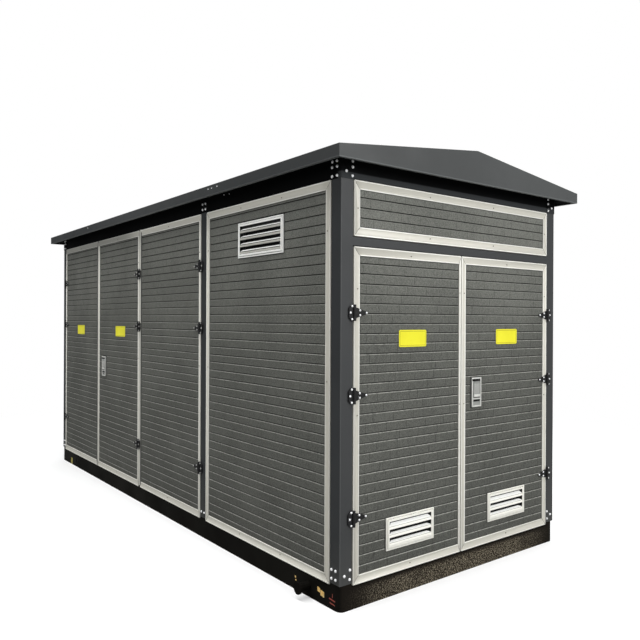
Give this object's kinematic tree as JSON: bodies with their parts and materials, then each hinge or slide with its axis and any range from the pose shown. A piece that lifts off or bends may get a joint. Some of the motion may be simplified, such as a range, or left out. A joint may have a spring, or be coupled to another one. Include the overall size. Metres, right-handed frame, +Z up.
{
  "type": "compact substation enclosure",
  "caption": "Prefabricated compact substation housing on a channel base: framed brick-pattern boards, hinged double doors, louvres and a low gable roof.",
  "frame": {"origin": "middle of the base's underside, at ground level", "axes": "+X along the length, towards the end with the double doors; +Z up; the long side with three doors faces -Y"},
  "size_m": [5.186, 2.226, 2.65],
  "materials": {
    "channel_steel": "satin black paint",
    "floor_steel": "grey plate",
    "shadow_steel": "near-black paint",
    "post_steel": "dark grey satin paint",
    "roof_steel": "grey satin paint",
    "frame_alloy": "pale anodised extrusion",
    "clad_board": "embossed dark grey metal-faced board",
    "vent_alloy": "pale anodised",
    "lock_alloy": "satin cast metal"
  },
  "bodies": {
    "enclosure": {"base_frame": "channel_steel", "corner_post_front_left": "post_steel", "corner_post_front_right": "post_steel", "corner_post_rear_left": "post_steel", "corner_post_rear_right": "post_steel", "floor_plate": "floor_steel", "front_panel_board": "clad_board", "front_panel_frame": "frame_alloy", "front_panel_louvre": "vent_alloy", "gable_left": "roof_steel", "gable_right": "roof_steel", "header_rail_left": "post_steel", "header_rail_right": "post_steel", "left_end_board_1": "clad_board", "left_end_board_2": "clad_board", "left_end_frame": "frame_alloy", "left_end_louvre_1": "vent_alloy", "left_end_louvre_2": "vent_alloy", "mid_post_front": "post_steel", "mid_post_rear": "post_steel", "mullion_front": "frame_alloy", "rear_bays_board_1": "clad_board", "rear_bays_board_2": "clad_board", "rear_bays_board_3": "clad_board", "rear_bays_frame": "frame_alloy", "rear_panel_board": "clad_board", "rear_panel_frame": "frame_alloy", "rear_panel_louvre": "vent_alloy", "roof_deck": "shadow_steel", "roof_slope_front": "roof_steel", "roof_slope_rear": "roof_steel", "top_ring": "shadow_steel", "transom_left_board": "clad_board", "transom_left_frame": "frame_alloy", "transom_right_board": "clad_board", "transom_right_frame": "frame_alloy"},
    "end_door_left": {"end_door_left_board": "clad_board", "end_door_left_frame": "frame_alloy", "end_door_left_louvre": "vent_alloy"},
    "end_door_right": {"end_door_right_board": "clad_board", "end_door_right_frame": "frame_alloy", "end_door_right_lock": "lock_alloy", "end_door_right_louvre": "vent_alloy"},
    "side_door_1": {"side_door_1_board": "clad_board", "side_door_1_frame": "frame_alloy"},
    "side_door_2": {"side_door_2_board": "clad_board", "side_door_2_frame": "frame_alloy", "side_door_2_lock": "lock_alloy"},
    "side_door_3": {"side_door_3_board": "clad_board", "side_door_3_frame": "frame_alloy"},
    "end_lever": {"end_door_right_lever": "lock_alloy"},
    "side_lever": {"side_door_2_lever": "lock_alloy"}
  },
  "joints": [
    {"name": "end_door_left_hinge", "type": "hinge", "parent": "enclosure", "child": "end_door_left", "pos_m": [2.4885, -0.9125, 1], "axis": [0, 0, -1], "range_deg": [0, 110]},
    {"name": "end_door_right_hinge", "type": "hinge", "parent": "enclosure", "child": "end_door_right", "pos_m": [2.4885, 0.9125, 1], "axis": [0, 0, 1], "range_deg": [0, 110]},
    {"name": "side_door_1_hinge", "type": "hinge", "parent": "enclosure", "child": "side_door_1", "pos_m": [-2.3875, -1.0135, 1.2], "axis": [0, 0, -1], "range_deg": [0, 100]},
    {"name": "side_door_2_hinge", "type": "hinge", "parent": "enclosure", "child": "side_door_2", "pos_m": [-0.2985, -1.0135, 1.2], "axis": [0, 0, 1], "range_deg": [0, 90]},
    {"name": "side_door_3_hinge", "type": "hinge", "parent": "enclosure", "child": "side_door_3", "pos_m": [0.8525, -1.0135, 1.2], "axis": [0, 0, 1], "range_deg": [0, 100]},
    {"name": "end_lever_hinge", "type": "hinge", "parent": "end_door_right", "child": "end_lever", "pos_m": [2.4847, 0.127, 1.198], "axis": [0, -1, 0], "range_deg": [0, 45]},
    {"name": "side_lever_hinge", "type": "hinge", "parent": "side_door_2", "child": "side_lever", "pos_m": [-1.151, -1.0097, 1.198], "axis": [-1, 0, 0], "range_deg": [0, 45]}
  ]
}
